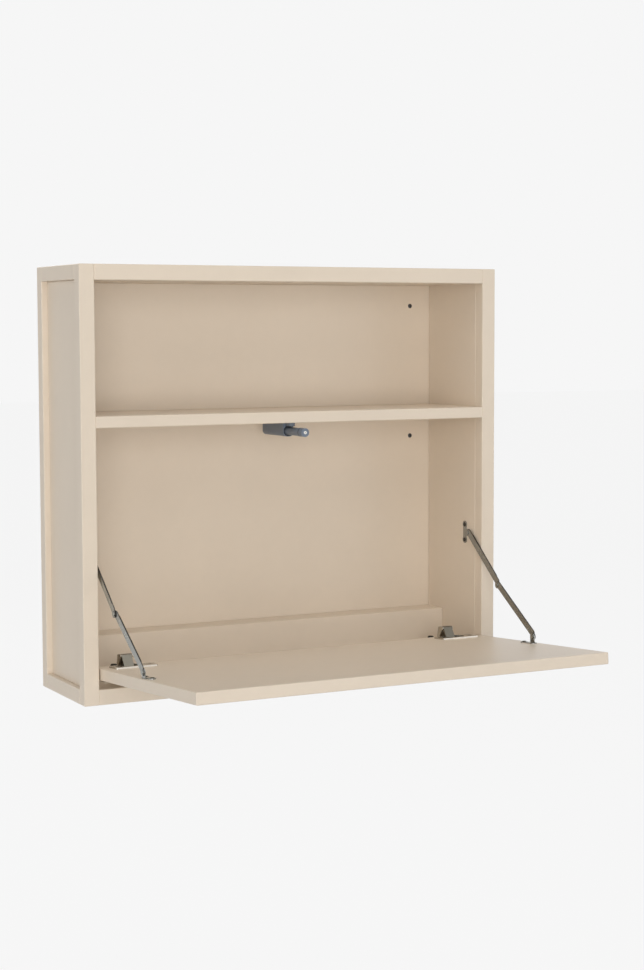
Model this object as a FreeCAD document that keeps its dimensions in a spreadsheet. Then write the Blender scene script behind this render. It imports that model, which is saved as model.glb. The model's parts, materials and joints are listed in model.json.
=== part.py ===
import FreeCAD, Part
import Sketcher
import os
import re

# Fold down wall desk: a shallow cabinet that hangs on four wall screws, with a writing flap
# hinged on the bottom board, two folding stays and a push latch under the shelf.
# Row frame: +Z up, +Y into the wall. The origin is the centre of the four wall holes,
# on the back face of the cabinet. The desk is drawn with its flap open.

Vector = FreeCAD.Vector
X_AXIS = Vector(1, 0, 0)
Y_AXIS = Vector(0, 1, 0)

doc = FreeCAD.newDocument("FoldDownWallDesk")
sheet = doc.addObject("Spreadsheet::Sheet", "sizes")
parts = []


# ---------------------------------------------------------------- driving dimensions

def size(alias, value):
    """Store one driving dimension, in millimetres or degrees."""
    size.row += 1
    sheet.set("A%d" % size.row, alias)
    sheet.set("B%d" % size.row, str(value))
    sheet.setAlias("B%d" % size.row, alias)


size.row = 0

# Cabinet
size("cabinet_width", 700)
size("cabinet_height", 640)
size("cabinet_depth", 184)
size("frame_thickness", 23)
size("front_stile_width", 21)
size("rear_stile_width", 20)
size("side_rail_height", 22)
size("panel_recess", 9)
size("shelf_thickness", 17)
size("shelf_underside", 404)
size("back_thickness", 17)
size("ledge_depth", 63)
size("ledge_height", 59)
size("ledge_board", 17)
size("edge_chamfer", 0.8)
size("wall_hole_x", 580)
size("wall_hole_z", 215)
size("wall_hole_diameter", 7)
size("base_below_holes", 476)

# Flat dowels in the butt joints of the carcass
size("dowel_across", 20)
size("dowel_along", 46)
size("dowel_thickness", 4)
size("dowel_inset", 36)
size("dowel_clearance", 0.05)

# Flap and its hinge axis
size("flap_thickness", 17)
size("flap_gap", 2)
size("axis_behind_front", 8)
size("axis_above_board", 21)
size("open_angle", 86)

# Cup hinges
size("hinge_x", 276)
size("cup_centre", 7.3)
size("cup_radius", 17.4)
size("cup_bore", 17.5)
size("cup_depth", 13.1)
size("cup_wall", 1.1)
size("cup_floor", 0.9)
size("flange_half_width", 33)
size("flange_front", 30)
size("flange_back", 0)
size("flange_corner", 3)
size("flange_disc", 19)
size("flange_thickness", 2)
size("cup_screw_x", 25)
size("cup_screw_along", 15)
size("pin_radius", 1.5)
size("pin_half_length", 14.9)
size("running_gap", 0.05)
size("link_angle", 56)
size("link_reach", 26)
size("link_width", 15.4)
size("link_thickness", 2.4)
size("link_eye", 2.6)
size("arm_eye", 3)
size("arm_width", 18.6)
size("arm_cheek", 1.2)
size("arm_inner_radius", 23)
size("hood_foot", 32.5)
size("hood_back", 26)
size("hood_top", 23)
size("hood_round", 3)
size("arm_sweep_start", -25)
size("arm_end", 82)
size("arm_top", -7)
size("arm_bottom", -17)
size("arm_web", 1.3)
size("plate_thickness", 4)
size("plate_start", 28)
size("plate_end", 78)
size("plate_width", 20)
size("rib_width", 13)
size("rib_height", 6)
size("wing_half_width", 25)
size("wing_centre", 54)
size("wing_depth", 16)
size("plate_screw_x", 17)
size("adjuster_radius", 3)
size("adjuster_height", 5.5)
size("adjuster_front", 40)
size("adjuster_back", 66)

# Folding stays, one on each side
size("stay_plate", 1.5)
size("stay_pivot_y", 38)
size("stay_pivot_z", 216)
size("stay_strip_y", 50)
size("stay_waist", 8)
size("stay_screw_spacing", 25)
size("stay_flap_along", 167)
size("stay_flap_height", 9.5)
size("stay_knee_y", -54)
size("stay_knee_z", 141.5)
size("stay_arm_width", 11)
size("stay_arm_corner", 4)
size("stay_arm_shift", 2.6)
size("stay_lobe", 5.5)
size("stay_web", 1.2)
size("stay_flange", 2)
size("stay_fold", 1)
size("stay_layer_gap", 0.3)
size("stay_flange_start", 13)
size("stay_rivet", 2)
size("stay_rivet_head", 3.6)
size("stay_head_height", 1)
size("stay_pad_in", 8)
size("stay_lug", 1.4)

# The countersunk screws that hold all the fittings
size("screw_radius", 2)
size("screw_head", 3.4)
size("screw_head_height", 1.4)
size("screw_length", 11)

# Push latch under the shelf
size("latch_width", 17)
size("latch_height", 22.5)
size("latch_corner", 6.5)
size("latch_front", 37)
size("latch_length", 76)
size("latch_tab_width", 11)
size("latch_tab_reach", 16)
size("latch_tab_thickness", 6.2)
size("latch_mouth", 7.5)
size("latch_mouth_depth", 3)
size("latch_rim", 2)
size("latch_axis_drop", 14)
size("latch_bore_depth", 72)
size("plunger_radius", 6.1)
size("plunger_head_radius", 6.6)
size("plunger_head_back", -1.6)
size("plunger_tip", -20.5)
size("plunger_inside", 12)
size("plunger_groove", 0.8)
size("plunger_disc_radius", 2.4)
size("plunger_disc_proud", 0.6)

doc.recompute()


def cell(text):
    """Turn a sum of aliases into an expression on the sheet's cells."""
    return re.sub(r"\b[a-z]\w*\b(?!\()", r"sizes.\g<0>", text)


def number(text):
    """Work out the present value of an expression."""
    result = sheet.evalExpression(cell(text))
    return float(getattr(result, "Value", result))


# Positions that many pieces share, as expressions
BASE_Z = "- base_below_holes"
FRONT_Y = "- cabinet_depth"
BOARD_TOP_Z = "- base_below_holes + frame_thickness"
INNER_HALF = "(cabinet_width / 2 - frame_thickness)"
INNER_WIDTH = "(cabinet_width - 2 * frame_thickness)"
AXIS_Y = "- cabinet_depth + axis_behind_front"
AXIS_Z = "- base_below_holes + frame_thickness + axis_above_board"
SHELF_Z = "- base_below_holes + shelf_underside"
FLAP_INNER = "(flap_thickness - axis_behind_front)"
FLAP_HALF = "(cabinet_width / 2 - frame_thickness - flap_gap)"
LATCH_SCREW_ROWS = ("(latch_front - latch_tab_reach + latch_tab_width / 2)",
                    "(latch_front + latch_length + latch_tab_reach - latch_tab_width / 2)")
SIDES = (("left", -1), ("right", 1))

# How far each layer of a stay stands in from the cabinet side: the two faces of the upper
# arm's web, the two faces of the lower arm's web, and the lug on the flap
UPPER_INNER = "(stay_plate + stay_layer_gap + stay_flange)"
UPPER_OUTER = "(stay_plate + stay_layer_gap + stay_flange - stay_web)"
LOWER_OUTER = "(stay_plate + 2 * stay_layer_gap + stay_flange)"
LOWER_INNER = "(stay_plate + 2 * stay_layer_gap + stay_flange + stay_web)"
LUG_OUTER = "(stay_plate + 3 * stay_layer_gap + stay_flange + stay_web)"
LUG_INNER = "(stay_plate + 3 * stay_layer_gap + stay_flange + stay_web + stay_lug)"
STAY_SCREW_IN = "(" + LUG_OUTER + " + stay_pad_in)"


# ---------------------------------------------------------------- drawing helpers

def bind(item, **expressions):
    """Bind properties, written with __ for each dot, to expressions on the sheet."""
    for name, text in expressions.items():
        item.setExpression(name.replace("__", "."), cell(text))


def place(item, x="0", y="0", z="0", turn=None, about=X_AXIS):
    """Bind an object's position, and its turn about one row axis where it has one."""
    if turn is not None:
        item.Placement = FreeCAD.Placement(Vector(), FreeCAD.Rotation(about, 1))
        bind(item, Placement__Rotation__Angle=turn)
    bind(item, Placement__Base__x=x, Placement__Base__y=y, Placement__Base__z=z)


def place_on_flap(item, x="0"):
    """Put an object drawn about the hinge axis, flap closed, where it stands with the flap open."""
    place(item, x, AXIS_Y, AXIS_Z, "open_angle")


def new_body(label):
    """Start the body of one piece."""
    body = doc.addObject("PartDesign::Body", label)
    body.Label = label
    parts.append(body)
    return body


def new_sketch(body, name, plane="YZ", offset=None):
    """Start a sketch on one of the body's own origin planes."""
    sketch = body.newObject("Sketcher::SketchObject", body.Label + "_" + name)
    support = [item for item in body.Origin.OriginFeatures if item.Role == plane + "_Plane"]
    sketch.AttachmentSupport = (support[0], [""])
    sketch.MapMode = "FlatFace"
    if offset is not None:
        bind(sketch, AttachmentOffset__Base__z=offset)
    return sketch


def fix_point(sketch, geometry, position, across, up):
    """Hold one point of the sketch at two bound distances from the sketch origin."""
    for kind, text in (("DistanceX", across), ("DistanceY", up)):
        number = sketch.addConstraint(Sketcher.Constraint(kind, -1, 1, geometry, position, 1.0))
        sketch.setExpression("Constraints[%d]" % number, cell(text))


def rectangle(sketch, left, low, right, high):
    """Draw a rectangle between two bound corners."""
    first = sketch.GeometryCount
    corners = (Vector(0, 0, 0), Vector(9, 0, 0), Vector(9, 9, 0), Vector(0, 9, 0))
    for index in range(4):
        sketch.addGeometry(Part.LineSegment(corners[index], corners[(index + 1) % 4]), False)
    for index in range(4):
        following = first + (index + 1) % 4
        sketch.addConstraint(Sketcher.Constraint("Coincident", first + index, 2, following, 1))
    for index, kind in enumerate(("Horizontal", "Vertical", "Horizontal", "Vertical")):
        sketch.addConstraint(Sketcher.Constraint(kind, first + index))
    fix_point(sketch, first, 1, left, low)
    fix_point(sketch, first + 2, 1, right, high)


def circle(sketch, across, up, radius):
    """Draw a circle with a bound centre and radius."""
    number = sketch.addGeometry(Part.Circle(Vector(0, 0, 0), Vector(0, 0, 1), 1), False)
    fix_point(sketch, number, 3, across, up)
    limit = sketch.addConstraint(Sketcher.Constraint("Radius", number, 1.0))
    sketch.setExpression("Constraints[%d]" % limit, cell(radius))


def pad(body, sketch, length, backwards=False, both_ways=False):
    """Pad a sketch."""
    feature = body.newObject("PartDesign::Pad", sketch.Name + "_pad")
    feature.Profile = sketch
    feature.Reversed = backwards
    feature.Midplane = both_ways
    bind(feature, Length=length)
    return feature


def pocket(body, sketch, depth, backwards=False, both_ways=False):
    """Cut a sketch out of the body."""
    feature = body.newObject("PartDesign::Pocket", sketch.Name + "_pocket")
    feature.Profile = sketch
    feature.Reversed = backwards
    feature.Midplane = both_ways
    bind(feature, Length=depth)
    return feature


def ease_all(body, base, width):
    """Ease every edge of a feature with a small chamfer."""
    feature = body.newObject("PartDesign::Chamfer", base.Name + "_eased")
    feature.Base = (base, [""])
    feature.UseAllEdges = True
    bind(feature, Size=width)
    return feature


def picked_edges(base, wanted):
    """Names of the edges of a feature that the test picks out."""
    doc.recompute()
    return ["Edge%d" % (index + 1) for index, edge in enumerate(base.Shape.Edges) if wanted(edge)]


def round_edges(body, base, radius, wanted):
    """Round the edges of a feature that the test picks out."""
    feature = body.newObject("PartDesign::Fillet", base.Name + "_round")
    feature.Base = (base, picked_edges(base, wanted))
    bind(feature, Radius=radius)
    return feature


def board(label, width, depth, height, corner):
    """A flat board with eased edges, placed by its lowest corner."""
    body = new_body(label)
    sketch = new_sketch(body, "outline", "XY")
    rectangle(sketch, "0", "0", width, depth)
    ease_all(body, pad(body, sketch, height), "edge_chamfer")
    place(body, *corner)
    return body


def face_sketch(body, name, face):
    """Start a sketch on one face of a board, such as x0 or x1, and tell which way it cuts."""
    planes = {"x": "YZ", "y": "XZ", "z": "XY"}
    axis = face[0]
    far_side = len(face) > 2
    offset = face[3:] if far_side else None
    sketch = new_sketch(body, name, planes[axis], offset)
    return sketch, (axis == "y") == far_side


def drill(body, name, face, centres, radius, depth):
    """Drill round holes into a board from one of its faces."""
    sketch, backwards = face_sketch(body, name, face)
    for across, up in centres:
        circle(sketch, across, up, radius)
    pocket(body, sketch, depth, backwards)


def mortise(body, name, face, centres):
    """Cut the slots for flat dowels into one face of a board."""
    sketch, backwards = face_sketch(body, name, face)
    long_half = "(dowel_along / 2 + dowel_clearance)"
    thin_half = "(dowel_thickness / 2 + dowel_clearance)"
    for across, up in centres:
        rectangle(sketch, across + " - " + long_half, up + " - " + thin_half,
                  across + " + " + long_half, up + " + " + thin_half)
    pocket(body, sketch, "dowel_across / 2 + dowel_clearance", backwards)


def cylinder(name, radius, length, x="0", y="0", z="0", along="z"):
    """A plain cylinder that starts at a point and runs along a row axis."""
    item = doc.addObject("Part::Cylinder", name)
    turns = {"x": FreeCAD.Rotation(Y_AXIS, 90),
             "y": FreeCAD.Rotation(X_AXIS, -90),
             "z": FreeCAD.Rotation()}
    item.Placement = FreeCAD.Placement(Vector(), turns[along])
    bind(item, Radius=radius, Height=length,
         Placement__Base__x=x, Placement__Base__y=y, Placement__Base__z=z)
    return item


def fused(name, items):
    """Join primitives into one solid."""
    joined = doc.addObject("Part::MultiFuse", name)
    joined.Shapes = items
    joined.Refine = True
    return joined


def cut(name, base, tool):
    """Take one solid out of another."""
    result = doc.addObject("Part::Cut", name)
    result.Base = base
    result.Tool = tool
    return result


def group(label, items):
    """Gather identical separate solids in one node."""
    compound = doc.addObject("Part::Compound", label)
    compound.Label = label
    compound.Links = items
    parts.append(compound)
    return compound


# ---------------------------------------------------------------- carcass

def side_frame(side, sign):
    """One cabinet side: two stiles, two rails and a panel set back on the outside."""
    corner_x = "cabinet_width / 2 - frame_thickness" if sign > 0 else "- cabinet_width / 2"
    stile_z = BASE_Z
    rail_y = FRONT_Y + " + front_stile_width"
    rail_depth = "cabinet_depth - front_stile_width - rear_stile_width"
    board(side + "_front_stile", "frame_thickness", "front_stile_width", "cabinet_height",
          (corner_x, FRONT_Y, stile_z))
    board(side + "_rear_stile", "frame_thickness", "rear_stile_width", "cabinet_height",
          (corner_x, "- rear_stile_width", stile_z))
    inner_face = "x0" if sign > 0 else "x1:frame_thickness"
    dowel_rows = ("dowel_inset", rail_depth + " - dowel_inset")
    for level, rail_z in (("top", BASE_Z + " + cabinet_height - side_rail_height"),
                          ("bottom", BASE_Z)):
        rail = board(side + "_" + level + "_rail", "frame_thickness", rail_depth,
                     "side_rail_height", (corner_x, rail_y, rail_z))
        mortise(rail, "dowels", inner_face, [(row, "side_rail_height / 2") for row in dowel_rows])
    panel_x = corner_x if sign > 0 else corner_x + " + panel_recess"
    panel = board(side + "_side_panel", "frame_thickness - panel_recess", rail_depth,
                  "cabinet_height - 2 * side_rail_height",
                  (panel_x, rail_y, BASE_Z + " + side_rail_height"))
    panel_face = "x0" if sign > 0 else "x1:frame_thickness - panel_recess"
    shelf_row = "shelf_underside + shelf_thickness / 2 - side_rail_height"
    mortise(panel, "dowels", panel_face, [(row, shelf_row) for row in dowel_rows])
    strip_y = "stay_strip_y - front_stile_width"
    strip_z = "stay_pivot_z - side_rail_height"
    drill(panel, "stay_screws", panel_face,
          ((strip_y, strip_z + " - stay_screw_spacing / 2"),
           (strip_y, strip_z + " + stay_screw_spacing / 2")),
          "screw_radius + running_gap", "screw_length")


def cross_boards():
    """The boards that run from side to side."""
    left_x = "- " + INNER_HALF
    back_y = "cabinet_depth - rear_stile_width - dowel_inset"
    front_y = "front_stile_width + dowel_inset"
    ends = (("x0", "left"), ("x1:" + INNER_WIDTH, "right"))

    top = board("top_board", INNER_WIDTH, "cabinet_depth", "frame_thickness",
                (left_x, FRONT_Y, BASE_Z + " + cabinet_height - frame_thickness"))
    bottom = board("bottom_board", INNER_WIDTH, "cabinet_depth", "frame_thickness",
                   (left_x, FRONT_Y, BASE_Z))
    shelf = board("shelf", INNER_WIDTH, "cabinet_depth - back_thickness", "shelf_thickness",
                  (left_x, FRONT_Y, SHELF_Z))
    rows = ((top, "frame_thickness - side_rail_height / 2"), (bottom, "side_rail_height / 2"),
            (shelf, "shelf_thickness / 2"))
    for item, height in rows:
        for face, end in ends:
            mortise(item, end + "_dowels", face, ((front_y, height), (back_y, height)))

    hinge_screws = []
    for sign in ("-", "+"):
        for wing in ("-", "+"):
            across = INNER_HALF + " " + sign + " hinge_x " + wing + " plate_screw_x"
            hinge_screws.append((across, "axis_behind_front + wing_centre"))
    drill(bottom, "hinge_screws", "z1:frame_thickness", hinge_screws,
          "screw_radius + running_gap", "screw_length - plate_thickness + 0.5")

    drill(shelf, "latch_screws", "z0", [(INNER_HALF, row) for row in LATCH_SCREW_ROWS],
          "screw_radius + running_gap", "screw_length - latch_tab_thickness + 0.5")


def back_and_ledge():
    """The back board with its four wall holes, and the raised ledge in front of it."""
    left_x = "- " + INNER_HALF
    back = board("back_board", INNER_WIDTH, "back_thickness",
                 "cabinet_height - 2 * frame_thickness",
                 (left_x, "- back_thickness", BOARD_TOP_Z))
    centre_z = "base_below_holes - frame_thickness"
    corners = []
    for across in ("-", "+"):
        for up in ("-", "+"):
            corners.append((INNER_HALF + " " + across + " wall_hole_x / 2",
                            centre_z + " " + up + " wall_hole_z / 2"))
    drill(back, "wall_holes", "y0", corners, "wall_hole_diameter / 2", "back_thickness")
    board("ledge_front_board", INNER_WIDTH, "ledge_board", "ledge_height",
          (left_x, "- ledge_depth", BOARD_TOP_Z))
    board("ledge_top_board", INNER_WIDTH, "ledge_depth - ledge_board - back_thickness",
          "ledge_board", (left_x, "- ledge_depth + ledge_board",
                          BOARD_TOP_Z + " + ledge_height - ledge_board"))


def carcass_dowels():
    """The glued flat dowels between the sides and the top, bottom and shelf."""
    dowels = []
    heights = (BASE_Z + " + cabinet_height - side_rail_height / 2",
               BASE_Z + " + side_rail_height / 2",
               SHELF_Z + " + shelf_thickness / 2")
    depths = (FRONT_Y + " + front_stile_width + dowel_inset", "- rear_stile_width - dowel_inset")
    for height in heights:
        for depth in depths:
            for sign in ("-", ""):
                dowel = doc.addObject("Part::Box", "dowel")
                bind(dowel, Length="dowel_across", Width="dowel_along", Height="dowel_thickness",
                     Placement__Base__x=sign + INNER_HALF + " - dowel_across / 2",
                     Placement__Base__y=depth + " - dowel_along / 2",
                     Placement__Base__z=height + " - dowel_thickness / 2")
                dowels.append(dowel)
    group("carcass_dowels", dowels)


# ---------------------------------------------------------------- flap

def flap_board():
    """The writing flap, with its cup bores and screw holes in the inner face."""
    body = new_body("flap_board")
    sketch = new_sketch(body, "outline")
    opening = "shelf_underside - frame_thickness - axis_above_board - flap_gap"
    rectangle(sketch, "- axis_behind_front", "flap_gap - axis_above_board", FLAP_INNER, opening)
    slab = pad(body, sketch, "2 * " + FLAP_HALF, both_ways=True)
    ease_all(body, slab, "edge_chamfer")
    bores = new_sketch(body, "cup_bores", "XZ", "- " + FLAP_INNER)
    for sign in ("-", ""):
        circle(bores, sign + " hinge_x", "cup_centre", "cup_bore")
    pocket(body, bores, "cup_depth + 0.1", True)
    holes = new_sketch(body, "screw_holes", "XZ", "- " + FLAP_INNER)
    for sign in ("-", ""):
        for side in ("-", "+"):
            circle(holes, sign + " hinge_x " + side + " cup_screw_x", "cup_screw_along",
                   "screw_radius + running_gap")
        across = sign + "(" + INNER_HALF + " - " + STAY_SCREW_IN + ")"
        for end in (" - ", " + "):
            circle(holes, across, "stay_flap_along" + end + "stay_screw_spacing / 2",
                   "screw_radius + running_gap")
    pocket(body, holes, "screw_length - stay_plate + 0.5", True)
    place_on_flap(body)


# ---------------------------------------------------------------- screws and rivets

def countersunk_screw(name):
    """A screw that points down from its flush head at z = 0."""
    cone = doc.addObject("Part::Cone", name + "_head")
    bind(cone, Radius1="screw_radius", Radius2="screw_head", Height="screw_head_height",
         Placement__Base__z="-screw_head_height")
    stem = cylinder(name + "_stem", "screw_radius", "screw_length - screw_head_height",
                    z="-screw_length")
    return fused(name, [cone, stem])


def countersunk_holes(body, name, plane, offset, centres, backwards=False):
    """Drill countersunk screw holes through a plate, from the sketch plane."""
    sketch = new_sketch(body, name, plane, offset)
    for across, up in centres:
        circle(sketch, across, up, "screw_radius")
    doc.recompute()
    hole = body.newObject("PartDesign::Hole", sketch.Name + "_hole")
    hole.Profile = sketch
    hole.ThreadType = "None"
    hole.DepthType = "Dimension"
    hole.DrillPoint = "Flat"
    hole.HoleCutType = "Countersink"
    hole.HoleCutCustomValues = True
    hole.HoleCutCountersinkAngle = 90
    hole.Reversed = backwards
    bind(hole, Diameter="2 * (screw_radius + running_gap)",
         HoleCutDiameter="2 * (screw_head + running_gap)", Depth="2 * plate_thickness")


def inset_start(sign, near, far):
    """Where a piece that lies between two insets from a cabinet side starts along X."""
    if sign > 0:
        return INNER_HALF + " - (" + far + ")"
    return "-" + INNER_HALF + " + (" + near + ")"


def rivet(label, sign, outer, inner, outer_head, y, z):
    """A rivet along X whose shank lies between two insets, with a flat head at each end."""
    layers = (("shank", "stay_rivet", outer, inner),
              ("outer_head", "stay_rivet_head", outer + " - " + outer_head, outer),
              ("inner_head", "stay_rivet_head", inner, inner + " + stay_head_height"))
    pieces = []
    for name, radius, near, far in layers:
        pieces.append(cylinder(label + "_" + name, radius, "(" + far + ") - (" + near + ")",
                               inset_start(sign, near, far), y, z, "x"))
    joined = fused(label, pieces)
    joined.Label = label
    parts.append(joined)


# ---------------------------------------------------------------- cup hinges

def flap_plane():
    """Offset of the flap's inner face for a sketch on the XZ plane."""
    return "-" + FLAP_INNER


def hinge_cup(side, across):
    """The round cup let into the flap, with its flange and the two holes for the axis pin."""
    body = new_body(side + "_hinge_cup")
    cup = new_sketch(body, "cup", "XZ", flap_plane())
    circle(cup, "0", "cup_centre", "cup_radius")
    pad(body, cup, "cup_depth")
    flange = new_sketch(body, "flange", "XZ", flap_plane())
    rectangle(flange, "-flange_half_width", "flange_back", "flange_half_width", "flange_front")
    plate = pad(body, flange, "flange_thickness", True)
    half = number("flange_half_width")
    body.Tip = round_edges(body, plate, "flange_corner", lambda edge: edge_runs(edge, 1)
                           and abs(abs(edge.CenterOfMass.x) - half) < 0.1)
    disc = new_sketch(body, "disc", "XZ", flap_plane())
    circle(disc, "0", "cup_centre", "flange_disc")
    pad(body, disc, "flange_thickness", True)
    bowl = new_sketch(body, "bowl", "XZ", flap_plane() + " - flange_thickness")
    circle(bowl, "0", "cup_centre", "cup_radius - cup_wall")
    pocket(body, bowl, "flange_thickness + cup_depth - cup_floor", True)
    pin = new_sketch(body, "pin_holes")
    circle(pin, "0", "0", "pin_radius + running_gap")
    pocket(body, pin, "2 * cup_radius", both_ways=True)
    countersunk_holes(body, "screw_holes", "XZ", flap_plane() + " - flange_thickness",
                      (("-cup_screw_x", "cup_screw_along"), ("cup_screw_x", "cup_screw_along")),
                      backwards=True)
    place_on_flap(body, across)


def edge_runs(edge, axis):
    """Whether a straight edge runs along one row axis."""
    if not isinstance(edge.Curve, Part.Line):
        return False
    return abs(edge.Curve.Direction[axis]) > 0.999


def hinge_link(side, across):
    """The link: a plate curled into an eye at the cup pin and into an eye at the arm's pin."""
    body = new_body(side + "_hinge_link")
    plate = new_sketch(body, "plate")
    rectangle(plate, "0", "link_eye - link_thickness", "link_reach", "link_eye")
    pad(body, plate, "link_width", both_ways=True)
    eyes = new_sketch(body, "eyes")
    circle(eyes, "0", "0", "link_eye")
    circle(eyes, "link_reach", "0", "link_eye")
    pad(body, eyes, "link_width", both_ways=True)
    holes = new_sketch(body, "holes")
    circle(holes, "0", "0", "pin_radius + running_gap")
    circle(holes, "link_reach", "0", "pin_radius + running_gap")
    pocket(body, holes, "link_width + 1", both_ways=True)
    place(body, across, AXIS_Y, AXIS_Z, "link_angle")


def arc_outline(sketch, points):
    """Draw a closed outline. A point with a radius ends an arc about the sketch origin."""
    places = [Vector(number(across), number(up), 0) for across, up, radius in points]
    for index, (across, up, radius) in enumerate(points):
        start = places[index - 1]
        end = places[index]
        if radius is None:
            sketch.addGeometry(Part.LineSegment(start, end), False)
        else:
            middle = (start + end).normalize() * number(radius)
            sketch.addGeometry(Part.Arc(start, middle, end), False)
            limit = sketch.addConstraint(Sketcher.Constraint("Radius", index, number(radius)))
            sketch.setExpression("Constraints[%d]" % limit, cell(radius))
    ends = []
    for index in range(len(points)):
        forwards = sketch.getPoint(index, 1).distanceToPoint(places[index - 1]) < 0.001
        ends.append((1, 2) if forwards else (2, 1))
    for index, (across, up, radius) in enumerate(points):
        following = (index + 1) % len(points)
        sketch.addConstraint(Sketcher.Constraint("Coincident", index, ends[index][1],
                                                 following, ends[following][0]))
        for kind, text in (("DistanceX", across), ("DistanceY", up)):
            limit = sketch.addConstraint(Sketcher.Constraint(kind, -1, 1, index, ends[index][1],
                                                             number(text)))
            sketch.setExpression("Constraints[%d]" % limit, cell(text))


def hood_outline(inner, angle, wall, foot, end):
    """Side view of the arm: a hood that curves over the flap's edge, then a straight run."""
    eye_top = "link_reach * sin(link_angle) + arm_eye - " + wall
    return ((inner + " * cos(" + angle + ")", inner + " * sin(" + angle + ")", None),
            (inner + " * cos(arm_sweep_start)", inner + " * sin(arm_sweep_start)", inner),
            ("arm_inner_radius + 1", foot, None),
            (end, foot, None),
            (end, "arm_top - " + wall, None),
            ("hood_foot - " + wall, "arm_top - " + wall, None),
            ("hood_back - " + wall, "hood_top - " + wall, None),
            ("link_reach * cos(link_angle)", eye_top, None))


def hinge_arm(side, across):
    """The arm: a folded channel whose hood reaches over the edge of the open flap."""
    body = new_body(side + "_hinge_arm")
    blank = new_sketch(body, "side")
    arc_outline(blank, hood_outline("arm_inner_radius", "link_angle", "0", "arm_bottom", "arm_end"))
    hood = pad(body, blank, "arm_width", both_ways=True)
    corner = number("hood_top")
    body.Tip = round_edges(body, hood, "hood_round", lambda edge: edge_runs(edge, 0)
                           and abs(edge.CenterOfMass.z - corner) < 0.1)
    eye_y = "link_reach * cos(link_angle)"
    eye_z = "link_reach * sin(link_angle)"
    eye = new_sketch(body, "eye")
    circle(eye, eye_y, eye_z, "arm_eye")
    pad(body, eye, "arm_width", both_ways=True)
    hollow = new_sketch(body, "hollow")
    arc_outline(hollow, hood_outline("(arm_inner_radius - 3)", "(link_angle + 16)", "arm_web",
                                     "arm_bottom - 1", "arm_end - arm_web"))
    pocket(body, hollow, "arm_width - 2 * arm_cheek", both_ways=True)
    gap = new_sketch(body, "link_gap")
    circle(gap, eye_y, eye_z, "arm_eye + 0.2")
    pocket(body, gap, "arm_width - 2 * arm_cheek", both_ways=True)
    pin = new_sketch(body, "pin_hole")
    circle(pin, eye_y, eye_z, "pin_radius + running_gap")
    pocket(body, pin, "arm_width + 1", both_ways=True)
    holes = new_sketch(body, "adjuster_holes", "XY", "arm_top")
    for along in ("adjuster_front", "adjuster_back"):
        circle(holes, "0", along, "adjuster_radius + running_gap")
    pocket(body, holes, "arm_web + 0.5")
    place(body, across, AXIS_Y, AXIS_Z)


def hinge_plate(side, across):
    """The mounting plate on the bottom board: a base with two screw wings and a rib."""
    body = new_body(side + "_hinge_plate")
    floor = "-axis_above_board"
    base = new_sketch(body, "base", "XY", floor)
    rectangle(base, "-plate_width / 2", "plate_start", "plate_width / 2", "plate_end")
    pad(body, base, "plate_thickness")
    wings = new_sketch(body, "wings", "XY", floor)
    rectangle(wings, "-wing_half_width", "wing_centre - wing_depth / 2",
              "wing_half_width", "wing_centre + wing_depth / 2")
    plate = pad(body, wings, "plate_thickness")
    half = number("wing_half_width")
    body.Tip = round_edges(body, plate, "6", lambda edge: edge_runs(edge, 2)
                           and abs(abs(edge.CenterOfMass.x) - half) < 0.1)
    rib = new_sketch(body, "rib", "XY", floor)
    rectangle(rib, "-rib_width / 2", "plate_start + 3", "rib_width / 2", "plate_end - 1")
    pad(body, rib, "plate_thickness + rib_height")
    countersunk_holes(body, "screw_holes", "XY", floor + " + plate_thickness",
                      (("-plate_screw_x", "wing_centre"), ("plate_screw_x", "wing_centre")))
    place(body, across, AXIS_Y, AXIS_Z)


def hinges():
    """Both cup hinges with their pins and screws."""
    adjusters = []
    plate_screws = []
    cup_screws = []
    for side, sign in SIDES:
        across = "hinge_x" if sign > 0 else "-hinge_x"
        hinge_cup(side, across)
        hinge_link(side, across)
        hinge_arm(side, across)
        hinge_plate(side, across)
        pins = (("_hinge_pin", "pin_half_length", AXIS_Y, AXIS_Z),
                ("_hinge_link_pin", "(arm_width / 2 + 0.5)",
                 AXIS_Y + " + link_reach * cos(link_angle)",
                 AXIS_Z + " + link_reach * sin(link_angle)"))
        for name, half, y, z in pins:
            pin = cylinder(side + name, "pin_radius", "2 * " + half,
                           across + " - " + half, y, z, "x")
            pin.Label = side + name
            parts.append(pin)
        for along in ("adjuster_front", "adjuster_back"):
            foot = AXIS_Z + " - axis_above_board + plate_thickness + rib_height"
            adjusters.append(cylinder("adjuster", "adjuster_radius", "adjuster_height",
                                      across, AXIS_Y + " + " + along, foot))
        for wing in (" - ", " + "):
            screw = countersunk_screw("plate_screw")
            place(screw, across + wing + "plate_screw_x", AXIS_Y + " + wing_centre",
                  BOARD_TOP_Z + " + plate_thickness")
            plate_screws.append(screw)
            screw = countersunk_screw("cup_screw")
            place(screw, across + wing + "cup_screw_x", FLAP_INNER + " + flange_thickness",
                  "cup_screw_along", "-90")
            cup_screws.append(screw)
    group("hinge_adjusters", adjusters)
    group("hinge_plate_screws", plate_screws)
    place_on_flap(group("hinge_cup_screws", cup_screws))


# ---------------------------------------------------------------- folding stays

PIVOT_Y = "(stay_pivot_y - cabinet_depth)"
PIVOT_Z = "(stay_pivot_z - base_below_holes)"
KNEE_Y = "(stay_knee_y - cabinet_depth)"
KNEE_Z = "(stay_knee_z - base_below_holes)"
LUG_RISE = "(" + FLAP_INNER + " + stay_flap_height)"
LUG_Y = ("(" + AXIS_Y + " + " + LUG_RISE + " * cos(open_angle)"
         " - stay_flap_along * sin(open_angle))")
LUG_Z = ("(" + AXIS_Z + " + " + LUG_RISE + " * sin(open_angle)"
         " + stay_flap_along * cos(open_angle))")


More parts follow.
